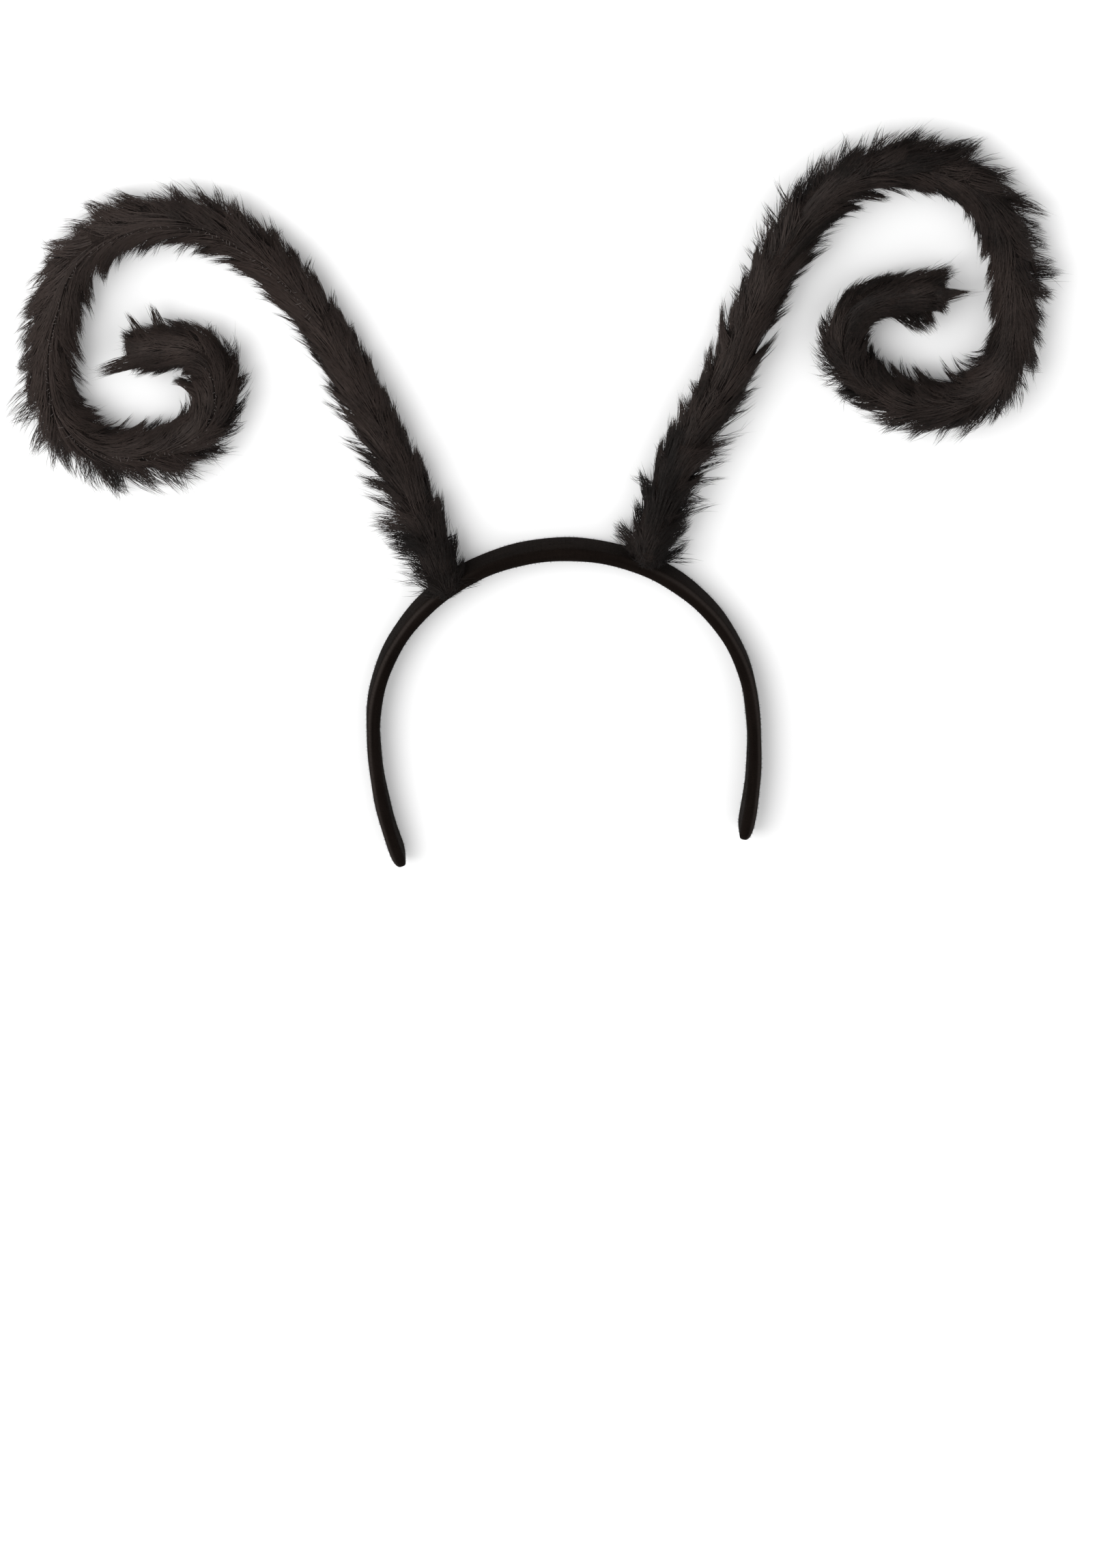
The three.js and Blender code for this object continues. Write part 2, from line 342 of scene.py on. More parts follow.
# The velvet's standing pile, short strands all over the cover but for the edge on the floor.
STRAND_SIDES = 3
STRAND_SPIN = 2.4
STRAND_ASKEW = np.array([0.36, 0.48, 0.8])
ROOT_CAP = (0, 2, 1)
PILE_SOFTNESS = 0.75
PILE_SEED = 5
PILE_HAIRS = 10500
PILE_END_STATIONS = 4
PILE_HAIR_LENGTH = 0.75
PILE_HAIR_VARIES = (0.5, 1.1)
PILE_HAIR_RADIUS = 0.035
PILE_HAIR_DRIFT = 0.2
PILE_HAIR_LEAN = 0.55
PILE_HAIR_STRAY = 0.25
PILE_HAIR_RISE = np.array([-0.1, 0.5, 1.0])
PILE_HAIR_TAPER = np.array([1.0, 0.8, 0.0])
PILE_LOWEST = 0.1
PILE_FROM_HEIGHT = 0.6
MIDDLE_TONE = 0.5


def strand_mesh(name, lines, radii, tones, outs=None):
    """One mesh of tapered three-sided strands: strand, ring and xyz, with a point for the last ring.
    Where outs gives the way out of the pile, the strands are shaded partly as one soft surface."""
    strands, rings = lines.shape[:2]
    along = np.gradient(lines, axis=1)
    along /= np.linalg.norm(along, axis=2, keepdims=True)
    across = np.cross(along, STRAND_ASKEW)
    across /= np.linalg.norm(across, axis=2, keepdims=True)
    third = np.cross(along, across)
    spin = np.arange(strands)[:, None, None, None] * STRAND_SPIN
    turn = spin + np.arange(STRAND_SIDES)[None, None, :, None] * (2 * math.pi / STRAND_SIDES)
    spread = np.cos(turn) * across[:, :-1, None, :] + np.sin(turn) * third[:, :-1, None, :]
    body = lines[:, :-1, None, :] + radii[:, :-1, None, None] * spread
    points = np.concatenate([body.reshape(strands, -1, 3), lines[:, -1:, :]], axis=1)
    count = points.shape[1]
    quads = []
    for ring in range(rings - 2):
        for side in range(STRAND_SIDES):
            here = ring * STRAND_SIDES + side
            there = ring * STRAND_SIDES + (side + 1) % STRAND_SIDES
            quads.append((here, there, there + STRAND_SIDES, here + STRAND_SIDES))
    last = (rings - 2) * STRAND_SIDES
    ends = [(last + side, last + (side + 1) % STRAND_SIDES, count - 1) for side in range(STRAND_SIDES)]
    ends.append(ROOT_CAP)
    corners = np.concatenate([np.array(quads).ravel(), np.array(ends).ravel()])
    sizes = np.array([4] * len(quads) + [3] * len(ends))
    starts = np.concatenate([[0], np.cumsum(sizes)[:-1]])
    strand = np.arange(strands)[:, None]
    loop_points = strand * count + corners[None, :]
    loop_starts = strand * len(corners) + starts[None, :]
    mesh = bpy.data.meshes.new(name)
    mesh.vertices.add(strands * count)
    mesh.loops.add(strands * len(corners))
    mesh.polygons.add(strands * len(sizes))
    mesh.vertices.foreach_set("co", (points * MM).astype(np.float32).ravel())
    mesh.loops.foreach_set("vertex_index", loop_points.astype(np.int32).ravel())
    mesh.polygons.foreach_set("loop_start", loop_starts.astype(np.int32).ravel())
    mesh.update(calc_edges=True)
    mesh.shade_smooth()
    level = np.concatenate([np.repeat(np.linspace(0, 1, rings)[:-1], STRAND_SIDES), [1.0]])
    add_values(mesh, "along", "FLOAT", "value", np.tile(level, strands))
    add_values(mesh, "tone", "FLOAT", "value", np.repeat(tones, count))
    if outs is not None:
        sides = spread * (1 - PILE_SOFTNESS) + outs[:, :-1, None, :] * PILE_SOFTNESS
        normals = np.concatenate([sides.reshape(strands, -1, 3), outs[:, -1:, :]], axis=1)
        normals = normals.reshape(-1, 3)
        normals /= np.linalg.norm(normals, axis=1, keepdims=True)
        mesh.normals_split_custom_set_from_vertices(normals)
    return mesh


draw = np.random.default_rng(PILE_SEED)
at_station = draw.integers(PILE_END_STATIONS, BAND_STATIONS - PILE_END_STATIONS, PILE_HAIRS)
at_point = draw.integers(0, len(section), PILE_HAIRS)
next_point = (at_point + 1) % len(section)
root = band_rings[at_station, at_point]
along_band = band_rings[at_station + 1, at_point] - band_rings[at_station - 1, at_point]
round_band = band_rings[at_station, next_point] - band_rings[at_station, at_point - 1]
face_out = np.cross(round_band, along_band)
face_out /= np.linalg.norm(face_out, axis=1, keepdims=True)
along_band /= np.linalg.norm(along_band, axis=1, keepdims=True)
hair_way = face_out + along_band * draw.normal(PILE_HAIR_DRIFT, PILE_HAIR_LEAN, (PILE_HAIRS, 1))
hair_way += draw.normal(0, PILE_HAIR_STRAY, (PILE_HAIRS, 3))
hair_length = PILE_HAIR_LENGTH * draw.uniform(*PILE_HAIR_VARIES, PILE_HAIRS)
hair_way *= (hair_length / np.linalg.norm(hair_way, axis=1))[:, None]
hair_lines = root[:, None, :] + hair_way[:, None, :] * PILE_HAIR_RISE[None, :, None]
hair_lines[:, :, 2] = np.maximum(hair_lines[:, :, 2], PILE_LOWEST)
hair_lines = hair_lines[hair_lines[:, 0, 2] > PILE_FROM_HEIGHT]
hair_radii = np.tile(PILE_HAIR_RADIUS * PILE_HAIR_TAPER, (len(hair_lines), 1))
hair_tones = np.full(len(hair_lines), MIDDLE_TONE)
pile = strand_mesh("headband_pile", hair_lines, hair_radii, hair_tones)
show("headband_pile", pile, velvet)


# Left antenna. A sleeve of long-pile fur, sewn up along its front over a soft wire that is bent by
# hand, with its foot over the front of the band. Each bend is a run and a turn to the left.
WIRE_HEIGHT = 9.0
WIRE_STATIONS = 1801
END_BACK = 5.5
FLOOR_CLEAR = 0.3
FLOOR_EASE = 0.6
FOOT_ROUND = 7.0
FOOT_DRAWN_IN = 0.62
SLEEVE_AT = [0.0, 0.12, 0.35, 0.6, 0.8, 0.96, 0.985]
SLEEVE_RADIUS = [8.2, 7.7, 7.7, 7.9, 7.9, 7.8, 7.0]
OUTSIDE_RIGHT = 1
OUTSIDE_LEFT = -1

LEFT_SEAT_DEG = -34.7
LEFT_SINK = 4.8
LEFT_FOOT = 1.5
LEFT_HEADING_DEG = 103.0
LEFT_BENDS = [
    (51, 4), (50, 4), (45, 13), (28, 26), (76, 98), (42, 34),
    (32, 66), (30, 48), (25, 60), (20, 84), (21, 6),
]
LEFT_SEAM = (128.0, 388.0)

# Each list runs from the foot to the tip, at the shares of the wire's length in the list of places
# above it: how far the sleeve hangs to the outer side of the wire, how far the points of the fur
# lift off the sleeve on its outer and its inner side, and how much paler or darker the fur is painted,
# which is painted light and shade for how the light falls along the sleeve.
ASIDE_AT = [0.0, 0.12, 0.2, 0.3, 0.38, 0.48, 0.56, 0.6, 0.65, 0.7, 0.78, 0.85, 0.9, 0.95, 1.0]
LEFT_ASIDE = [0.8, 2.0, 0.7, 0.0, -1.5, -0.5, -0.5, -2.2, -0.3, 1.2, 0.2, 0.6, -1.4, -0.8, 0.0]
LIFT_AT = [0.0, 0.1, 0.17, 0.24, 0.38, 0.47, 0.56, 0.65, 0.73, 0.8, 0.87, 0.92, 1.0]
LEFT_LIFT_OUTER = [1.6, 1.4, 1.0, 0.6, 4.0, 6.4, 3.2, 3.4, 10.6, 10.4, 2.2, 2.0, 1.0]
LEFT_LIFT_INNER = [11.0, 7.0, 5.4, 1.4, 3.6, 3.8, 3.2, 3.2, 5.4, 2.6, 1.2, 2.4, 0.4]
PAINTED_LIGHT_AT = [0.0, 0.12, 0.22, 0.34, 0.45, 0.6, 0.75, 1.0]
LEFT_PAINTED_LIGHT = [0.0, 0.0, 0.4, 0.4, 0.4, 0.5, 0.3, 0.15]


def antenna_wire(seat_deg, sink, foot, heading_deg, bends, outside, outer_lift, inner_lift, aside):
    """The wire of an antenna from its seat on the arch, and what its sleeve takes from its place
    along it. The pile begins at foot."""
    seat = math.radians(seat_deg)
    reach = ARCH_RADIUS + BAND_THICKNESS / 2 - sink
    start = (math.sin(seat) * reach, math.cos(seat) * reach - ARCH_RADIUS)
    wire = level_route(start, heading_deg, bends, WIRE_STATIONS)
    wire["end"] = wire["length"] - END_BACK
    wire["foot"] = foot
    wire["outside"] = outside
    wire["outer_lift"] = outer_lift
    wire["inner_lift"] = inner_lift
    wire["aside"] = aside
    return wire


def on_sleeve(wire, at, angle, radius):
    """Points along the wire, round it from the front to the outer side, and off it, above the floor."""
    inside = np.clip(at, 0.0, wire["length"])
    past = at - inside
    heading = np.interp(inside, wire["at"], wire["heading"])
    hang = np.interp(inside / wire["length"], ASIDE_AT, wire["aside"])
    aside = (radius * np.sin(angle) + hang) * wire["outside"]
    x = np.interp(inside, wire["at"], wire["x"]) + past * np.cos(heading) + aside * np.sin(heading)
    y = np.interp(inside, wire["at"], wire["y"]) + past * np.sin(heading) - aside * np.cos(heading)
    drop = WIRE_HEIGHT + radius * np.cos(angle) - FLOOR_CLEAR
    z = FLOOR_CLEAR + (drop + np.sqrt(drop**2 + FLOOR_EASE**2)) / 2
    return np.stack([x, y, z], axis=-1)


def sleeve_radius(wire, at):
    """Radius of the dense fur, drawn in at the foot."""
    foot = np.clip(1 - (at - wire["foot"]) / FOOT_ROUND, 0, 1)
    radius = np.interp(at / wire["length"], SLEEVE_AT, SLEEVE_RADIUS)
    return radius * np.sqrt(1 - FOOT_DRAWN_IN * foot**2)


# The knitted backing that the fur stands on.
BACKING_DEPTH = 1.5
BACKING_SIDES = 20
BACKING_STEP = 2.0
BACKING_FOOT_RINGS = np.array([0.0, 0.5, 1.2, 2.2, 3.6])
BACKING_END_DEG = [25, 50, 72, 86]
BACKING_END_BOW = 0.6
BACKING_ROUGH = 0.03
BACKING_RIDGES = 3
BACKING_TWIST = 0.7
BACKING_RIPPLE = 1.9


def backing_mesh(name, wire):
    """The backing as a tube round the wire with a blunt round end."""
    length = wire["end"]
    foot = wire["foot"] + BACKING_FOOT_RINGS
    rest = np.linspace(foot[-1] + BACKING_STEP, length, int(length / BACKING_STEP))
    at = np.concatenate([foot, rest])
    angle = np.linspace(0, 2 * math.pi, BACKING_SIDES, endpoint=False)[None, :] * wire["outside"]
    radius = sleeve_radius(wire, at[:, None] + 0 * angle) - BACKING_DEPTH
    bow = np.radians(BACKING_END_DEG)[:, None]
    end_at = length + radius[-1:] * BACKING_END_BOW * np.sin(bow)
    at = np.concatenate([at[:, None] + 0 * angle, end_at])
    radius = np.concatenate([radius, radius[-1:] * np.cos(bow)])
    ridges = np.sin(BACKING_RIDGES * angle + at * BACKING_TWIST)
    rough = 1 + BACKING_ROUGH * ridges * np.sin(at * BACKING_RIPPLE)
    return tube_mesh(name, on_sleeve(wire, at, angle, radius * rough))


# The locks of the fur. Angles and widths round the wire are radians, unless the name ends in DEG.
TIER_PITCH = 10.0
TIER_LOCKS = 8
TIER_SCATTER = 0.45
SECTOR_SCATTER = 0.35
LOCK_LENGTH = 19.0
LOCK_VARIES = 0.3
LOCK_WIDTH = 0.48
LOCK_DEPTH = 7.0
LOCK_TUFTS = 4
SIDE_TUFTS = 2
SIDE_FROM_SIN = 0.6
SIDE_LESS_DEPTH = 3.0
SIDE_HIGHER = 0.3
FRONT_GATHER = 0.15
SIDE_MORE_GATHER = 0.8
BACK_FROM_COS = -0.5
BACK_SHARE = 0.3
LIFT_FRONT_SHARE = 0.75
HIGHEST_LIFT = 12.5
PROUD_OUTER = 0.45
PROUD_INNER = 0.35
PROUD_LIFT = (1.05, 1.5)
LOW_LIFT = (0.3, 0.6)
LEAN_AT = [0.0, 0.25, 0.45, 1.0]
LEAN_OUTER_DEG = [6.0, 8.0, 32.0, 32.0]
LEAN_INNER_DEG = [14.0, 14.0, 20.0, 20.0]
LEAN_EASE = 0.6
LEAN_SCATTER = 0.1
SHORTER_AT = [0.0, 0.1, 0.2, 0.3, 0.4]
SHORTER_OUTER = [0.62, 0.5, 0.4, 0.4, 0.66]
SHORTER_INNER = [0.62, 0.5, 0.15, 0.1, 0.3]
STRANDS = 21500
OVERHANG = 2.5
BASE_FADE = 38.0
SPIKES = 240
SPIKE_FROM = 2
SPIKE_SHORT_OF_END = 4
SPIKE_SCATTER = 0.3
SPIKE_LIFT = (1.0, 1.9)
SPIKE_LIFT_MORE = 1.4
SPIKE_LEAN = 0.15
SPIKE_RUN = (4, 10)
SPIKE_INNER_LONGER = 6
SPIKE_GATHER = 0.94
SPIKE_WIDTH = 0.16
SPIKE_DEPTH = 2.2
SPIKE_STRANDS = 12
ACCENT_COLUMNS = ("at", "angle", "run", "lift", "lean", "width", "depth", "gather", "share")
ACCENT_OVERHANG = 40.0
ACCENT_TUFTS = 3
ACCENT_ONE_TUFT_FROM = 0.9


def by_side(sideways, share, places, outer, inner):
    """A value at a share of the length, from the list for the curl's outer or its inner side."""
    return np.where(sideways > 0, np.interp(share, places, outer), np.interp(share, places, inner))


def tier_locks(wire, draw):
    """The locks that cover a sleeve, in even tiers over each other, as named columns."""
    length = wire["length"]
    tiers = np.arange(int(length / TIER_PITCH))
    tier, sector = np.meshgrid(tiers, np.arange(TIER_LOCKS), indexing="ij")
    tier, sector = tier.ravel(), sector.ravel()
    count = len(tier)
    at = (tier + 0.5 + draw.uniform(-TIER_SCATTER, TIER_SCATTER, count)) * TIER_PITCH
    sector = sector + tier % 2 / 2 + draw.uniform(-SECTOR_SCATTER, SECTOR_SCATTER, count)
    angle = sector * 2 * math.pi / TIER_LOCKS
    angle = (angle + math.pi) % (2 * math.pi) - math.pi
    share = at / length
    sideways = np.sin(angle)
    beside = np.abs(sideways)
    vary = 1 + LOCK_VARIES * draw.uniform(-1, 1, count)
    proud = draw.uniform(0, 1, count) < np.where(sideways > 0, PROUD_OUTER, PROUD_INNER)
    uneven = np.where(proud, draw.uniform(*PROUD_LIFT, count), draw.uniform(*LOW_LIFT, count))
    uneven = 1 + (uneven - 1) * beside
    outer = np.interp(share, LIFT_AT, wire["outer_lift"])
    inner = np.interp(share, LIFT_AT, wire["inner_lift"])
    facing = 1 - (1 - LIFT_FRONT_SHARE) * np.abs(np.cos(angle))
    least = np.minimum(outer, inner)
    more_outer = (outer - least) * ((1 + sideways) / 2) ** 2
    more_inner = (inner - least) * ((1 - sideways) / 2) ** 2
    lift = (least + more_outer + more_inner) * facing * vary * uneven * (1 + SIDE_HIGHER * beside)
    swing = np.radians(by_side(sideways, share, LEAN_AT, LEAN_OUTER_DEG, LEAN_INNER_DEG))
    shorter = by_side(sideways, share, SHORTER_AT, SHORTER_OUTER, SHORTER_INNER)
    twice = np.sin(2 * angle)
    lean = swing * np.sign(twice) * np.abs(twice) ** LEAN_EASE + draw.normal(0, LEAN_SCATTER, count)
    strands = np.where(np.cos(angle) < BACK_FROM_COS, BACK_SHARE, 1.0)
    return {
        "at": at,
        "angle": angle,
        "run": LOCK_LENGTH * vary * (1 - shorter * beside),
        "lift": np.minimum(lift, HIGHEST_LIFT),
        "lean": lean,
        "width": np.full(count, LOCK_WIDTH),
        "depth": LOCK_DEPTH - SIDE_LESS_DEPTH * beside**2,
        "gather": FRONT_GATHER + SIDE_MORE_GATHER * beside**3,
        "share": strands * (STRANDS / strands.sum()),
        "tufts": np.where(beside > SIDE_FROM_SIN, SIDE_TUFTS, LOCK_TUFTS),
        "overhang": np.full(count, OVERHANG),
    }


def edge_spikes(wire, draw):
    """Thin spikes along both sides of a sleeve, where its fur stands out most, as the same columns."""
    length = wire["length"]
    at = draw.uniform(SPIKE_FROM, length - SPIKE_SHORT_OF_END, SPIKES)
    outer = np.interp(at / length, LIFT_AT, wire["outer_lift"])
    inner = np.interp(at / length, LIFT_AT, wire["inner_lift"])
    outside = draw.uniform(0, 1, SPIKES) < outer / (outer + inner)
    angle = np.where(outside, 1, -1) * (math.pi / 2 + draw.normal(0, SPIKE_SCATTER, SPIKES))
    lift = np.where(outside, outer, inner) * draw.uniform(*SPIKE_LIFT, SPIKES) + SPIKE_LIFT_MORE
    lean = draw.normal(0, SPIKE_LEAN, SPIKES)
    run = draw.uniform(*SPIKE_RUN, SPIKES)
    return {
        "at": at,
        "angle": angle,
        "run": run + np.where(outside | (at < BASE_FADE), 0, SPIKE_INNER_LONGER),
        "lift": np.minimum(lift, HIGHEST_LIFT) * np.sin(angle) ** 2,
        "lean": lean,
        "width": np.full(SPIKES, SPIKE_WIDTH),
        "depth": np.full(SPIKES, SPIKE_DEPTH),
        "gather": np.full(SPIKES, SPIKE_GATHER),
        "share": np.full(SPIKES, SPIKE_STRANDS),
        "tufts": np.full(SPIKES, 1),
        "overhang": np.full(SPIKES, OVERHANG),
    }


def accent_locks(accents):
    """The locks that are listed, one a row, as the same columns."""
    locks = dict(zip(ACCENT_COLUMNS, np.array(accents, float).T))
    for column in ("angle", "lean", "width"):
        locks[column] = np.radians(locks[column])
    locks["tufts"] = np.where(locks["gather"] > ACCENT_ONE_TUFT_FROM, 1, ACCENT_TUFTS)
    locks["overhang"] = np.full(len(accents), ACCENT_OVERHANG)
    return locks


# The strands of the fur, which share a lock's run, lift and lean. A pair of numbers is the least and
# the most, and a scatter is how far strands or tufts stray from their lock.
STRAND_RINGS = 4
STRAND_RADIUS = 0.1
STRAND_VARIES = (0.7, 1.3)
STRAND_TAPER = np.array([0.9, 1.0, 0.72, 0.0])
STRAND_BOW = (0.75, 1.2)
STRAND_WAVE = 0.06
STRAND_WAVES = (3, 7)
STRAND_WAVE_START = (0, 6.28)
STRAND_TURN_EASE = 1.25
TUFT_AT = (-4.5, 2.0)
TUFT_SCATTER = 0.24
TUFT_LIFT = (0.7, 1.1)
ROOT_SCATTER = 1.5
ROOT_SHORT_OF_END = 0.8
ROOT_SUNK = 0.2
POINT_SCATTER = 0.7
POINT_ANGLE_SCATTER = 0.16
POINT_LIFT_SCATTER = 0.35
UNGATHERED_STRAY = 1.05
LEAST_REACH = 0.5
ACCENT_LEAST_REACH = 0.4
LOOSE_SHARE = 0.05
LOOSE_LONGER = 0.25
LOOSE_SCATTER = 0.3
LOOSE_THINNER = 0.6
HANGING_BELOW = 6.0
HANGING_SHARE = 0.6
HANGING_RUN = (0.0, 4.0)
HANGING_LIFT = (0.2, 1.6)
HANGING_SCATTER = 0.3
PARTED_TO = 0.9
PARTED_ROOT = 0.03
PARTED_POINT = 0.08
FUZZ_SHARE = 0.12
FUZZ_RUN = (2.0, 6.0)
FUZZ_LIFT = (0.5, 2.8)
FUZZ_SCATTER = 0.25
LOCK_TONE_SHARE = 0.65
# Painted shade at the foot of the fur, where it meets the band.
PAINTED_FOOT_SHADE = 1.4
TIP_STRANDS = 350
TIP_RUN = (1.5, 4.0)
TIP_OFF_END = 0.8
TIP_SCATTER = 0.5
TIP_FAN = 0.3
TIP_SPREAD = 2.0
TIP_HUB_BACK = 4
TIP_VARIES = (0.7, 1.1)


def tip_strands(wire, draw):
    """Short strands that close the blunt tip: their rings, ways out of the pile, radii and tones."""
    length = wire["end"]
    step = np.linspace(0, 1, STRAND_RINGS)[None, :]
    end_radius = sleeve_radius(wire, length) - BACKING_DEPTH
    root = end_radius * np.sqrt(draw.uniform(0, 1, TIP_STRANDS))
    start = draw.uniform(-math.pi, math.pi, TIP_STRANDS)
    run = draw.uniform(*TIP_RUN, TIP_STRANDS)
    at = length + run[:, None] * step + TIP_OFF_END
    angle = start[:, None] + draw.normal(0, TIP_SCATTER, TIP_STRANDS)[:, None] * step
    fan = TIP_FAN * root + draw.uniform(0, TIP_SPREAD, TIP_STRANDS)
    radius = root[:, None] + fan[:, None] * step
    lines = on_sleeve(wire, at, angle, radius)
    outs = lines - on_sleeve(wire, 0 * at + length - TIP_HUB_BACK, angle, 0 * radius)
    thick = STRAND_RADIUS * draw.uniform(*TIP_VARIES, TIP_STRANDS)
    tones = draw.uniform(0, 1, TIP_STRANDS)
    return lines, outs, thick, tones


def fur_strands(wire, seed, seam, accents, painted_light):
    """Strands of a sleeve from the band to the tip: their rings, radii, tones and ways out."""
    draw = np.random.default_rng(seed)
    length = wire["end"]
    kinds = [tier_locks(wire, draw), edge_spikes(wire, draw), accent_locks(accents)]
    locks = {column: np.concatenate([kind[column] for kind in kinds]) for column in kinds[0]}
    lock = np.repeat(np.arange(len(locks["at"])), np.round(locks["share"]).astype(int))
    lock = lock[np.argsort(locks["at"][lock], kind="stable")]
    own = {column: values[lock] for column, values in locks.items()}
    many = len(lock)

    # Each strand keeps to a tuft of its lock, from its root to its point.
    tuft = draw.integers(0, own["tufts"])
    tufts = (len(locks["at"]), LOCK_TUFTS)
    tuft_at = draw.uniform(*TUFT_AT, tufts)[lock, tuft]
    tuft_angle = draw.normal(0, TUFT_SCATTER, tufts)[lock, tuft] * own["width"] / LOCK_WIDTH
    tuft_lift = draw.uniform(*TUFT_LIFT, tufts)[lock, tuft]
    off_angle = own["width"] * draw.uniform(-1, 1, many)
    root_angle = own["angle"] + off_angle
    root_at = own["at"] + own["depth"] * draw.uniform(-1, 1, many)
    lowest_root = wire["foot"] + draw.uniform(0, ROOT_SCATTER, many)
    root_at = np.clip(root_at, lowest_root, length - ROOT_SHORT_OF_END)
    tip_at = own["at"] + own["run"] + tuft_at + draw.normal(0, POINT_SCATTER, many)
    tip_angle = own["angle"] + own["lean"] + off_angle * (1 - own["gather"])
    stray = draw.normal(0, POINT_ANGLE_SCATTER, many) * (UNGATHERED_STRAY - own["gather"])
    tip_angle += tuft_angle * own["gather"] + stray
    tip_lift = own["lift"] * tuft_lift + draw.normal(0, POINT_LIFT_SCATTER, many)
    reach = LEAST_REACH + (1 - LEAST_REACH) * np.sqrt(draw.uniform(0, 1, many))
    accent = own["overhang"] > OVERHANG
    reach = np.where(accent, ACCENT_LEAST_REACH + (1 - ACCENT_LEAST_REACH) * reach, reach)

    # A few loose ones reach further, and at the foot some hang down over the band.
    loose = draw.uniform(0, 1, many) < LOOSE_SHARE
    reach = np.where(loose, reach + LOOSE_LONGER, reach)
    tip_angle += np.where(loose, draw.normal(0, LOOSE_SCATTER, many), 0)
    above = root_at - wire["foot"]
    in_front = np.cos(root_angle) > 0.0
    hanging = (above < HANGING_BELOW) & in_front & (draw.uniform(0, 1, many) < HANGING_SHARE)
    hang = np.minimum(draw.uniform(*HANGING_RUN, many), above)
    tip_at = np.where(hanging, root_at - hang, tip_at)
    tip_lift = np.where(hanging, draw.uniform(*HANGING_LIFT, many), tip_lift)
    tip_angle = np.where(hanging, root_angle + draw.normal(0, HANGING_SCATTER, many), tip_angle)

    # The pile parts along a seam, is held short past the sleeve's end, and has fuzz all over.
    if seam:
        on_seam = (root_at > seam[0]) & (root_at < seam[1])
        parted = on_seam & (np.abs(root_angle) < PARTED_TO)
        way = np.where(root_angle < 0, -1.0, 1.0)
        root_angle = np.where(parted, way * np.maximum(np.abs(root_angle), PARTED_ROOT), root_angle)
        least_turn = np.abs(root_angle) + PARTED_POINT
        tip_angle = np.where(parted, way * np.maximum(way * tip_angle, least_turn), tip_angle)
    over = np.maximum(tip_at - length, 0)
    tip_at = np.minimum(tip_at, length) + own["overhang"] * (1 - np.exp(-over / own["overhang"]))
    fuzz = (draw.uniform(0, 1, many) < FUZZ_SHARE) & ~accent
    tip_at = np.where(fuzz, root_at + draw.uniform(*FUZZ_RUN, many), tip_at)
    tip_lift = np.where(fuzz, draw.uniform(*FUZZ_LIFT, many), tip_lift)
    tip_angle = np.where(fuzz, root_angle + draw.normal(0, FUZZ_SCATTER, many), tip_angle)
    reach = np.where(fuzz, 1.0, reach)

    root_radius = sleeve_radius(wire, root_at) - BACKING_DEPTH - ROOT_SUNK
    tip_radius = sleeve_radius(wire, tip_at) + tip_lift
    bow = draw.uniform(*STRAND_BOW, many)
    waves = draw.uniform(*STRAND_WAVES, many)
    wave_start = draw.uniform(*STRAND_WAVE_START, many)
    step = np.linspace(0, 1, STRAND_RINGS)[None, :] * reach[:, None]
    wave = STRAND_WAVE * np.sin(step * waves[:, None] + wave_start[:, None])
    turn = (tip_angle - root_angle)[:, None] * step**STRAND_TURN_EASE
    at = root_at[:, None] + (tip_at - root_at)[:, None] * step
    angle = root_angle[:, None] + turn + wave * step
    radius = root_radius[:, None] + (tip_radius - root_radius)[:, None] * step ** bow[:, None]
    lines = on_sleeve(wire, at, angle, radius)
    outs = lines - on_sleeve(wire, at, angle, 0 * radius)
    thick = STRAND_RADIUS * draw.uniform(*STRAND_VARIES, many)
    thick *= np.where(loose | fuzz, LOOSE_THINNER, 1.0)
    lock_tone = draw.uniform(0, 1, len(locks["at"]))[lock]
    tones = LOCK_TONE_SHARE * lock_tone + (1 - LOCK_TONE_SHARE) * draw.uniform(0, 1, many)
    # Painted light and shade: the fur is made paler or darker along each sleeve, for how the light falls
    # on it.
    tones += np.interp(root_at / wire["length"], PAINTED_LIGHT_AT, painted_light)
    # Painted shade at the foot, where the fur meets the band: the roots' tone is darker near the band.
    tones -= PAINTED_FOOT_SHADE * np.clip(1 - root_at / BASE_FADE, 0, 1)

    tip_lines, tip_outs, tip_thick, tip_tones = tip_strands(wire, draw)
    lines = np.concatenate([lines, tip_lines])
    outs = np.concatenate([outs, tip_outs])
    outs /= np.linalg.norm(outs, axis=2, keepdims=True)
    thick = np.concatenate([thick, tip_thick])
    tones = np.concatenate([tones, tip_tones])
    return lines, thick[:, None] * STRAND_TAPER[None, :], tones, outs


# The fur's colours, and its pieces from the band to the tip.
FUR_DEEP = (0.005, 0.0034, 0.0028, 1.0)
FUR_RAISED = (0.039, 0.028, 0.0242, 1.0)
FUR_TIP = (0.034, 0.0228, 0.019, 1.0)
FUR_TONE_SHIFT = (-0.3, 0.3)
FUR_TIP_RANGE = (0.45, 1.0)
BACKING_SHIFT = -0.25
FUR_STRETCHES = ("stalk", "arch", "curl")


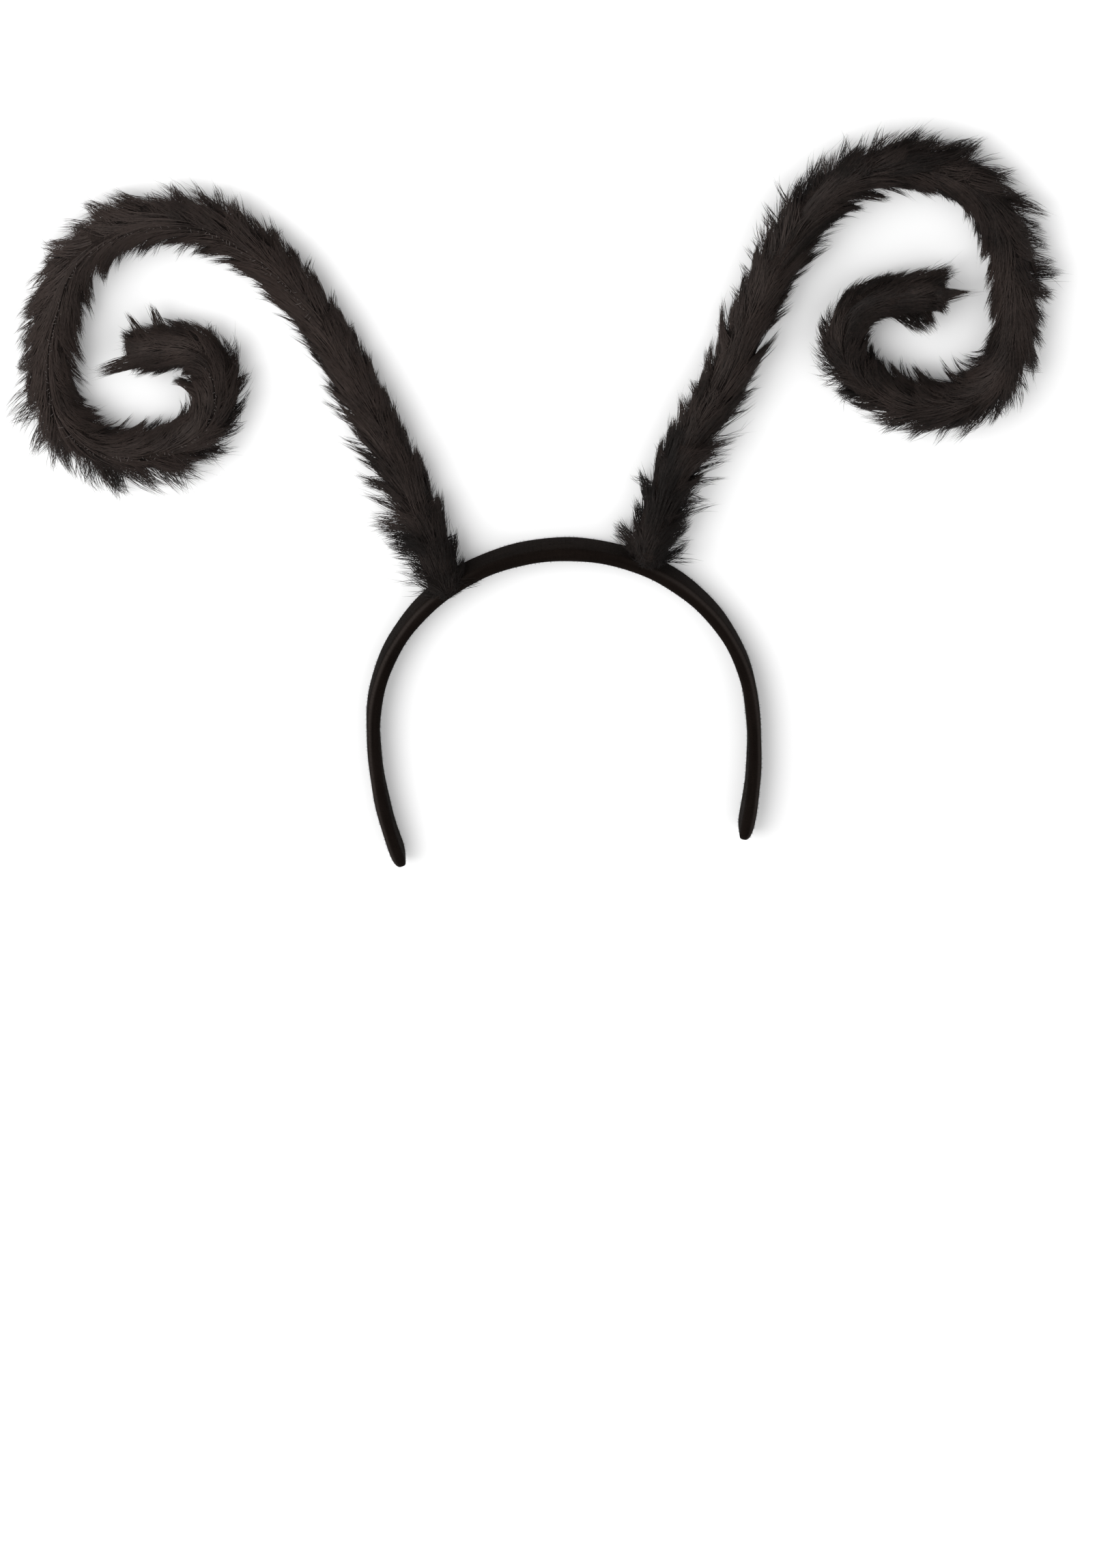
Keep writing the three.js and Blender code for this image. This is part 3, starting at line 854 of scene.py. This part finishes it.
def fur_material(name):
    """Black fur: each lock and strand has its own tone, the tone also carries painted light and shade,
    and the points are thin enough to look brown.
    """
    material, tone, shader = pile_material(
        name, FUR_DEEP, FUR_RAISED, patches=60.0, grain=900.0, bump=0.0001, roughness=0.6, gloss=0.16)
    nodes, links = material.node_tree.nodes, material.node_tree.links
    own = value_node(nodes, "tone")
    spread = range_node(nodes, WHOLE_RANGE, FUR_TONE_SHIFT)
    links.new(own.outputs["Fac"], spread.inputs["Value"])
    links.new(spread.outputs["Result"], tone.inputs["Shift"])
    towards_tip = range_node(nodes, FUR_TIP_RANGE, WHOLE_RANGE)
    links.new(value_node(nodes, "along").outputs["Fac"], towards_tip.inputs["Value"])
    paler = nodes.new("ShaderNodeMath")
    paler.operation = "MULTIPLY"
    paler.use_clamp = True
    links.new(towards_tip.outputs["Result"], paler.inputs[0])
    links.new(own.outputs["Fac"], paler.inputs[1])
    lay_color(material, shader, paler.outputs[0], tone, FUR_TIP)
    return material


def show_antenna(node, wire, seed, seam, accents, painted_light):
    """The backing and the fur of one antenna, the fur in stretches from the band to the tip."""
    backing = node + "_backing"
    show(backing, backing_mesh(backing, wire), backing_black, [node])
    fur = fur_strands(wire, seed, seam, accents, painted_light)
    split = [np.array_split(values, len(FUR_STRETCHES)) for values in fur]
    for stretch, *some in zip(FUR_STRETCHES, *split):
        name = node + "_fur_" + stretch
        show(name, strand_mesh(name, *some), fur_black, [node])


# Locks placed one by one at the tip, in the curl, along the outer side and at the foot. The columns are
# in ACCENT_COLUMNS, with angle, lean and width in degrees, and share is how many strands.
LEFT_ACCENTS = [
    (411, -28, 24, 1.6, 0, 40, 5, 0.5, 170),
    (408, 30, 10, -1.6, 0, 52, 5, 0.3, 190),
    (400, -85, 13, 3.6, 0, 22, 5, 0.8, 90),
    (411, 80, 4, 10.0, 0, 8, 2, 0.94, 40),
    (403, 85, 4, 11.0, 0, 9, 3, 0.94, 46),
    (376, 80, 24, 3.5, 0, 12, 3, 0.9, 40),
    (388, 82, 7, 5.5, 0, 13, 4, 0.88, 60),
    (380, 84, 8, 7.0, 0, 13, 4, 0.88, 70),
    (372, 86, 9, 7.0, 0, 13, 4, 0.88, 70),
    (364, 86, 9, 6.0, 0, 13, 4, 0.88, 60),
    (351, 90, 5, 9.0, 0, 12, 4, 0.9, 90),
    (368, -90, 12, 7.6, 0, 26, 5, 0.75, 150),
    (202, 88, 8, 8.0, 0, 11, 4, 0.85, 50),
    (189, 88, 8, 8.0, 0, 11, 4, 0.85, 50),
    (176, 88, 11, 5.4, 0, 12, 4, 0.85, 50),
    (166, 88, 12, 4.6, 0, 12, 4, 0.85, 50),
    (156, 88, 12, 4.2, 0, 12, 4, 0.85, 50),
    (143, 88, 13, 3.8, 0, 12, 4, 0.85, 50),
    (129, 88, 13, 3.4, 0, 12, 4, 0.85, 50),
    (4, 70, 3, 9.0, 0, 25, 4, 0.5, 90),
]

backing_black, backing_tone, _ = pile_material(
    "fur backing", FUR_DEEP, FUR_RAISED,
    patches=90.0, grain=1400.0, bump=0.0006, roughness=0.9, gloss=0.1)
backing_tone.inputs["Shift"].default_value = BACKING_SHIFT
fur_black = fur_material("black fur")
left_wire = antenna_wire(
    LEFT_SEAT_DEG, LEFT_SINK, LEFT_FOOT, LEFT_HEADING_DEG, LEFT_BENDS, OUTSIDE_RIGHT,
    LEFT_LIFT_OUTER, LEFT_LIFT_INNER, LEFT_ASIDE)
show_antenna("antenna_left", left_wire, seed=11, seam=LEFT_SEAM, accents=LEFT_ACCENTS, painted_light=LEFT_PAINTED_LIGHT)


# Seam of the left sleeve. Grey thread shows as a row of small stitches where the pile parts along
# the front, from the upper stalk round the curl; here and there the pile covers a stitch.
STITCH_SEED = 3
STITCH_PITCH = 1.4
STITCH_SHOWN = 0.75
STITCH_LENGTH = 0.8
STITCH_VARIES = (0.7, 1.2)
STITCH_RADIUS = 0.1
STITCH_TAPER = np.array([0.5, 0.9, 1.0, 1.0, 0.8, 0.0])
STITCH_PROUD = 1.0
STITCH_BOW = 2.0
STITCH_SCATTER = 0.06
STITCH_SLANT = 0.12
THREAD_DEEP = (0.065, 0.057, 0.053, 1.0)
THREAD_RAISED = (0.13, 0.114, 0.108, 1.0)

draw = np.random.default_rng(STITCH_SEED)
stitch_at = np.arange(LEFT_SEAM[0], LEFT_SEAM[1], STITCH_PITCH)
stitch_at = stitch_at[draw.uniform(0, 1, len(stitch_at)) < STITCH_SHOWN]
stitch_count = len(stitch_at)
stitch_step = np.linspace(-0.5, 0.5, len(STITCH_TAPER))[None, :]
stitch_length = STITCH_LENGTH * draw.uniform(*STITCH_VARIES, stitch_count)
stitch_along = stitch_at[:, None] + stitch_length[:, None] * stitch_step
stitch_off = draw.normal(0, STITCH_SCATTER, stitch_count)
stitch_slant = draw.normal(0, STITCH_SLANT, stitch_count)
stitch_angle = stitch_off[:, None] + stitch_slant[:, None] * stitch_step
stitch_rise = sleeve_radius(left_wire, stitch_along) + STITCH_PROUD - STITCH_BOW * stitch_step**2
stitch_lines = on_sleeve(left_wire, stitch_along, stitch_angle, stitch_rise)
stitch_radii = np.tile(STITCH_RADIUS * STITCH_TAPER, (stitch_count, 1))
stitch_tones = np.full(stitch_count, MIDDLE_TONE)
thread, _, _ = pile_material(
    "grey thread", THREAD_DEEP, THREAD_RAISED,
    patches=300.0, grain=3000.0, bump=0.0001, roughness=0.7, gloss=0.2)
stitches = strand_mesh("antenna_left_stitches", stitch_lines, stitch_radii, stitch_tones)
show("antenna_left_stitches", stitches, thread)


# Right antenna. The same sleeve with its seam at the back and bends of its own: the foot stands on
# the outer face of the band, and every bend but one turns to the right.
RIGHT_SEAT_DEG = 29.8
RIGHT_SINK = 2.8
RIGHT_FOOT = 2.4
RIGHT_HEADING_DEG = 74.0
RIGHT_BENDS = [
    (36, -6), (25, -11), (45, 11), (45, -14), (25, -31), (40, -54), (25, -40),
    (51, -29), (36, -78), (36, -48), (26, -70), (14, -58), (27, -9),
]
RIGHT_ASIDE = [0.3, 1.0, 0.0, 0.3, -0.3, -0.7, -0.7, -1.8, -2.2, -2.9, -1.0, -1.1, 0.4, 0.6, 0.0]
RIGHT_LIFT_OUTER = [3.0, 3.4, 2.4, 2.0, 6.2, 5.0, 5.0, 2.6, 5.2, 4.8, 3.2, 1.0, 0.4]
RIGHT_LIFT_INNER = [10.4, 7.2, 3.6, 2.8, 4.2, 0.8, 2.6, 1.2, 6.4, 4.0, 2.6, -0.8, 0.6]
# Painted light and shade of the right sleeve, mostly darker than the left, where less light falls.
RIGHT_PAINTED_LIGHT = [-0.2, -0.15, 0.2, -0.2, -0.15, 0.1, -0.1, -0.12]
RIGHT_ACCENTS = [
    (418, 10, 24, -5.2, 0, 40, 6, 0.93, 170),
    (419, -50, 23, -5.8, 40, 18, 4, 0.86, 22),
    (412, -85, 9, 11.0, 0, 27, 6, 0.5, 170),
    (418, -78, 8, 7.0, 0, 25, 4, 0.8, 90),
    (420, -70, 6, 5.0, 0, 20, 3, 0.8, 60),
    (415, 75, 10, 6.5, 0, 20, 4, 0.9, 80),
    (420, 70, 11, 7.5, 0, 18, 3, 0.9, 80),
    (423, 60, 11, 6.5, 0, 18, 2, 0.88, 70),
    (277, 90, 7, 6.5, 0, 9, 4, 0.8, 34),
    (269, 90, 6, 8.0, 0, 9, 3, 0.85, 36),
    (263, 90, 4, 14.0, 0, 10, 4, 0.7, 60),
    (258, 90, 6, 10.0, 0, 10, 4, 0.6, 44),
    (251, 90, 7, 8.0, 0, 10, 4, 0.7, 44),
    (244, 90, 8, 9.0, 0, 10, 4, 0.7, 44),
    (235, 90, 10, 10.0, 0, 10, 4, 0.75, 50),
    (221, 90, 12, 6.0, 0, 10, 4, 0.7, 36),
    (207, 88, 9, 9.5, 0, 10, 4, 0.75, 44),
    (194, 90, 8, 9.0, 0, 9, 3, 0.8, 40),
    (185, 90, 8, 8.5, 0, 9, 3, 0.8, 40),
    (8, 100, 6, 9.0, 0, 22, 4, 0.7, 110),
]

right_wire = antenna_wire(
    RIGHT_SEAT_DEG, RIGHT_SINK, RIGHT_FOOT, RIGHT_HEADING_DEG, RIGHT_BENDS, OUTSIDE_LEFT,
    RIGHT_LIFT_OUTER, RIGHT_LIFT_INNER, RIGHT_ASIDE)
show_antenna("antenna_right", right_wire, seed=47, seam=None, accents=RIGHT_ACCENTS, painted_light=RIGHT_PAINTED_LIGHT)


# Studio: a plain pale floor that runs out of the picture, soft lights and the camera. It isn't part
# of the object.
FLOOR_HALF = 6.0
FLOOR_COLOR = (0.93, 0.93, 0.93, 1.0)
FLOOR_ROUGHNESS = 0.9
FLOOR_GLOSS = 0.1
SKY_COLOR = (1.0, 1.0, 1.0, 1.0)
SKY_STRENGTH = 0.8
LIGHTS = [
    ("key", (-0.9, 0.6, 1.15), 1.6, 22.0),
    ("fill", (1.1, 0.3, 1.5), 1.4, 2.0),
]
LIGHT_AIM = Vector((0.0, 0.03, 0.0))
CAMERA_TILT_DEG = 27.0
CAMERA_ROLL_DEG = 4.5
CAMERA_AWAY = 2.2
CAMERA_AIM = Vector((-0.00732, -0.10161, 0.0))
CAMERA_LENS = 131.08
CAMERA_SENSOR = 36.0
CAMERA_SEES_TO = 50.0

floor_mesh = bpy.data.meshes.new("floor")
floor_corners = [
    (-FLOOR_HALF, -FLOOR_HALF, 0), (FLOOR_HALF, -FLOOR_HALF, 0),
    (FLOOR_HALF, FLOOR_HALF, 0), (-FLOOR_HALF, FLOOR_HALF, 0),
]
floor_mesh.from_pydata(floor_corners, [], [(0, 1, 2, 3)])
floor_paint = bpy.data.materials.new("pale floor")
floor_paint.use_nodes = True
floor_shader = floor_paint.node_tree.nodes["Principled BSDF"]
floor_shader.inputs["Base Color"].default_value = FLOOR_COLOR
floor_shader.inputs["Roughness"].default_value = FLOOR_ROUGHNESS
floor_shader.inputs["Specular IOR Level"].default_value = FLOOR_GLOSS
floor_mesh.materials.append(floor_paint)
floor = bpy.data.objects.new("floor", floor_mesh)
bpy.context.scene.collection.objects.link(floor)

world = bpy.data.worlds.new("studio")
world.use_nodes = True
sky = world.node_tree.nodes["Background"]
sky.inputs["Color"].default_value = SKY_COLOR
sky.inputs["Strength"].default_value = SKY_STRENGTH
bpy.context.scene.world = world

for name, place, size, power in LIGHTS:
    lamp = bpy.data.lights.new(name, "AREA")
    lamp.shape = "DISK"
    lamp.size = size
    lamp.energy = power
    light = bpy.data.objects.new(name, lamp)
    light.location = place
    aim = LIGHT_AIM - light.location
    light.rotation_euler = aim.to_track_quat("-Z", "Y").to_euler()
    bpy.context.scene.collection.objects.link(light)

tilt = math.radians(CAMERA_TILT_DEG)
roll = math.radians(CAMERA_ROLL_DEG)
back = Vector((0.0, math.sin(tilt), math.cos(tilt)))
level = Vector((1.0, 0.0, 0.0))
rise = Vector((0.0, math.cos(tilt), -math.sin(tilt)))
right = math.cos(roll) * level - math.sin(roll) * rise
up = math.sin(roll) * level + math.cos(roll) * rise
lens = bpy.data.cameras.new("camera")
lens.lens = CAMERA_LENS
lens.sensor_width = CAMERA_SENSOR
lens.clip_end = CAMERA_SEES_TO
camera = bpy.data.objects.new("camera", lens)
camera_turn = Matrix((right, up, back)).transposed().to_4x4()
camera.matrix_world = Matrix.Translation(CAMERA_AIM + back * CAMERA_AWAY) @ camera_turn
bpy.context.scene.collection.objects.link(camera)
bpy.context.scene.camera = camera
bpy.context.scene.view_settings.view_transform = "Standard"
